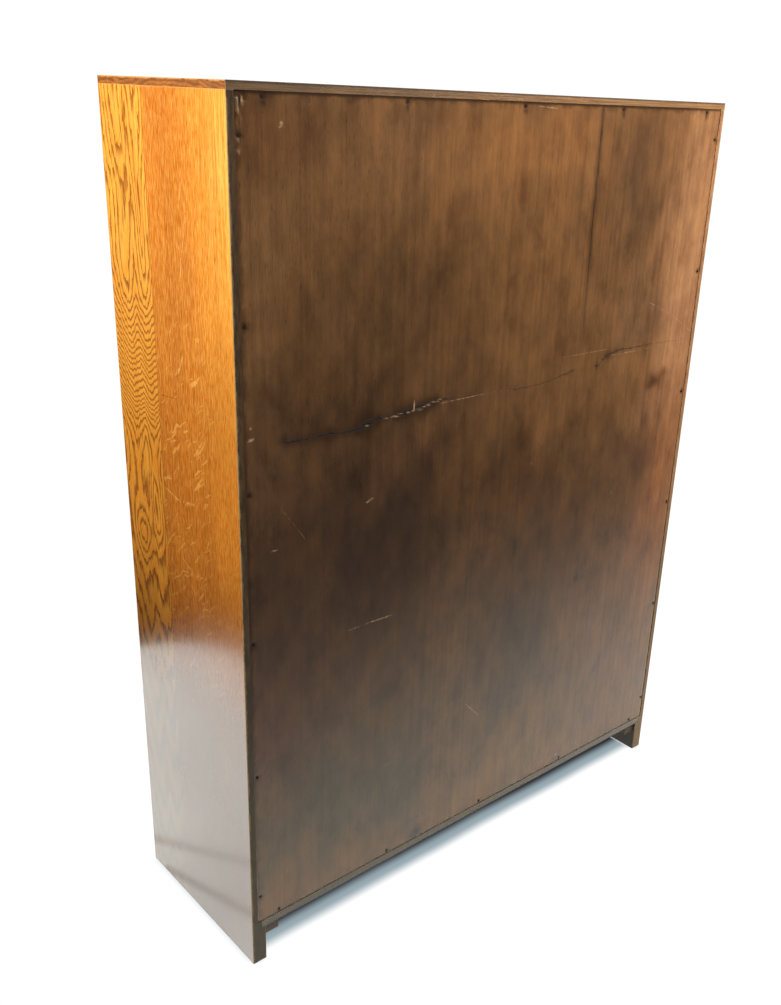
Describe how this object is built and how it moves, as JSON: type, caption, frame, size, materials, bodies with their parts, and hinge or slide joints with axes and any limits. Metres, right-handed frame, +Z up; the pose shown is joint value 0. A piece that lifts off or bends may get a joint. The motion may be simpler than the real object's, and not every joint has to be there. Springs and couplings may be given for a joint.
{
  "type": "barrister bookcase",
  "caption": "Tall one-piece oak bookcase with tiers of glass-fronted doors that lift and slide back over their shelves, and a nailed plywood back.",
  "frame": {"origin": "on the floor under the middle of the whole piece, knobs included", "axes": "+Z up, +Y towards the back, the doors face -Y, +X is the right side seen from the front"},
  "size_m": [0.921, 0.3166, 1.219],
  "materials": {
    "oak_case": "glossy golden oak varnish",
    "oak_shelf": "satin golden oak varnish",
    "oak_door": "glossy golden oak varnish",
    "plywood": "dark stained, worn",
    "plain_wood": "unfinished, aged",
    "pane_glass": "clear",
    "knob_brass": "aged polish",
    "pin_steel": "plain",
    "screw_steel": "aged",
    "wire_nail_steel": "rusted"
  },
  "bodies": {
    "case": {"side_panel_left": "oak_case", "side_panel_right": "oak_case", "top_board": "oak_case", "bottom_board": "oak_shelf", "shelf_1": "oak_shelf", "shelf_2": "oak_shelf", "shelf_3": "oak_shelf", "head_strip_1": "oak_case", "head_strip_2": "oak_case", "head_strip_3": "oak_case", "head_strip_4": "oak_case", "back_panel": "plywood", "back_panel_nails": "wire_nail_steel", "toe_rail": "oak_case", "toe_rail_blocks": "plain_wood", "cleat_left": "plain_wood", "cleat_right": "plain_wood", "cleat_screws": "screw_steel", "door_support_pins": "pin_steel"},
    "door_1_pins": {"door_1_pivot_pins": "pin_steel"},
    "door_1": {"door_1_stile_left": "oak_door", "door_1_stile_right": "oak_door", "door_1_top_rail": "oak_door", "door_1_bottom_rail": "oak_door", "door_1_glass": "pane_glass", "door_1_glazing_beads": "oak_door", "door_1_knobs": "knob_brass", "door_1_knob_screws": "screw_steel"},
    "door_2_pins": {"door_2_pivot_pins": "pin_steel"},
    "door_2": {"door_2_stile_left": "oak_door", "door_2_stile_right": "oak_door", "door_2_top_rail": "oak_door", "door_2_bottom_rail": "oak_door", "door_2_glass": "pane_glass", "door_2_glazing_beads": "oak_door", "door_2_knobs": "knob_brass", "door_2_knob_screws": "screw_steel"},
    "door_3_pins": {"door_3_pivot_pins": "pin_steel"},
    "door_3": {"door_3_stile_left": "oak_door", "door_3_stile_right": "oak_door", "door_3_top_rail": "oak_door", "door_3_bottom_rail": "oak_door", "door_3_glass": "pane_glass", "door_3_glazing_beads": "oak_door", "door_3_knobs": "knob_brass", "door_3_knob_screws": "screw_steel"},
    "door_4_pins": {"door_4_pivot_pins": "pin_steel"},
    "door_4": {"door_4_stile_left": "oak_door", "door_4_stile_right": "oak_door", "door_4_top_rail": "oak_door", "door_4_bottom_rail": "oak_door", "door_4_glass": "pane_glass", "door_4_glazing_beads": "oak_door", "door_4_knobs": "knob_brass", "door_4_knob_screws": "screw_steel"}
  },
  "joints": [
    {"name": "door_1_recede", "type": "slide", "parent": "case", "child": "door_1_pins", "axis": [0, 1, 0], "range_m": [0, 0.184]},
    {"name": "door_1_lift", "type": "hinge", "parent": "door_1_pins", "child": "door_1", "pos_m": [0, -0.12425, 0.32632], "axis": [-1, 0, 0], "range_deg": [0, 90]},
    {"name": "door_2_recede", "type": "slide", "parent": "case", "child": "door_2_pins", "axis": [0, 1, 0], "range_m": [0, 0.184]},
    {"name": "door_2_lift", "type": "hinge", "parent": "door_2_pins", "child": "door_2", "pos_m": [0, -0.12425, 0.60965], "axis": [-1, 0, 0], "range_deg": [0, 90]},
    {"name": "door_3_recede", "type": "slide", "parent": "case", "child": "door_3_pins", "axis": [0, 1, 0], "range_m": [0, 0.184]},
    {"name": "door_3_lift", "type": "hinge", "parent": "door_3_pins", "child": "door_3", "pos_m": [0, -0.12425, 0.89297], "axis": [-1, 0, 0], "range_deg": [0, 90]},
    {"name": "door_4_recede", "type": "slide", "parent": "case", "child": "door_4_pins", "axis": [0, 1, 0], "range_m": [0, 0.184]},
    {"name": "door_4_lift", "type": "hinge", "parent": "door_4_pins", "child": "door_4", "pos_m": [0, -0.12425, 1.1763], "axis": [-1, 0, 0], "range_deg": [0, 90]}
  ]
}
